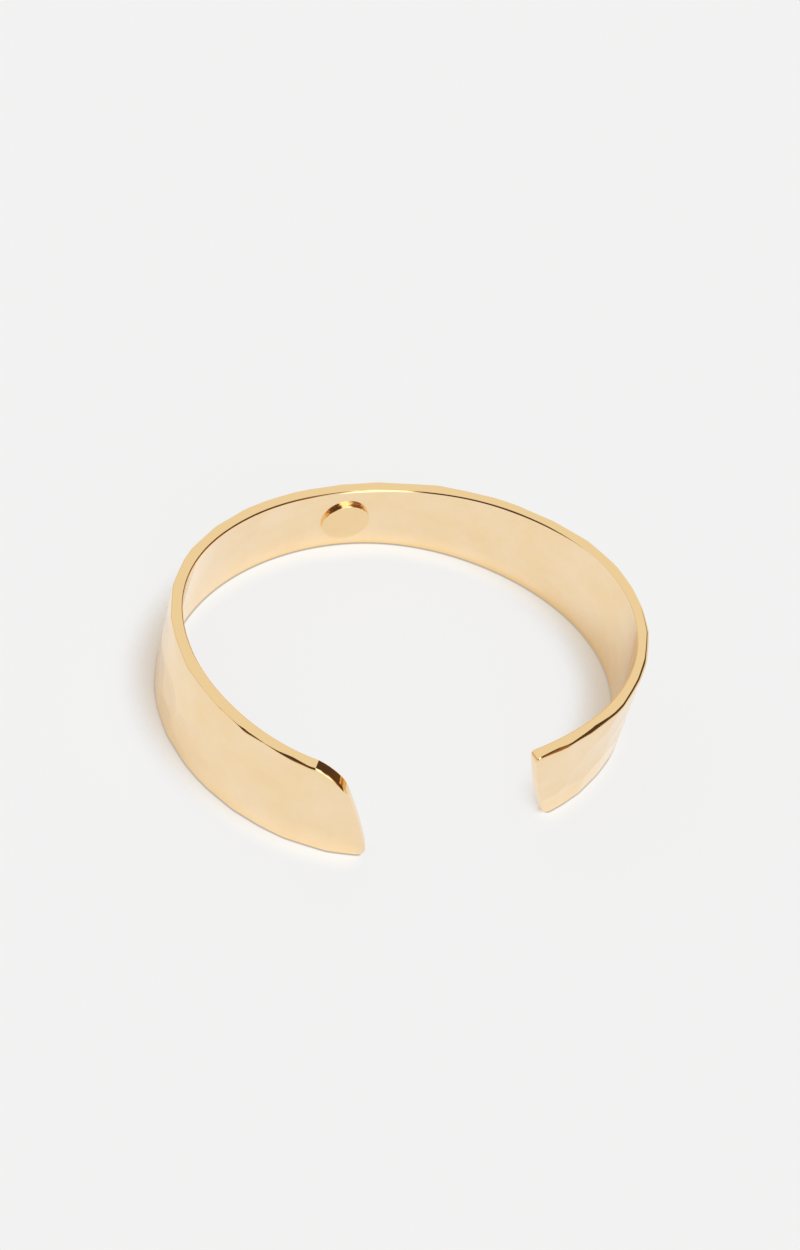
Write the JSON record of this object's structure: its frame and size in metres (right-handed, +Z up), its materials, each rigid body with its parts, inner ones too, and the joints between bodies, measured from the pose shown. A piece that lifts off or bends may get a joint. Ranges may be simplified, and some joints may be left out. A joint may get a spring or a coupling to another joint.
{
  "type": "cuff bracelet",
  "caption": "Open oval cuff of one hammered gold-coloured metal strip, with slanted rounded ends and a small round disc inside.",
  "frame": {"origin": "under the middle of the bounding box, on the plane of the lower edge that the cuff lies on", "axes": "+Z up through the wrist hollow, +X along the oval's long way, the opening between the ends faces -Y"},
  "size_m": [0.062, 0.0514, 0.015],
  "materials": {
    "gold": "polished gold plate, lightly hammered on the outer face"
  },
  "bodies": {
    "root": {"cuff": "gold"}
  },
  "joints": []
}
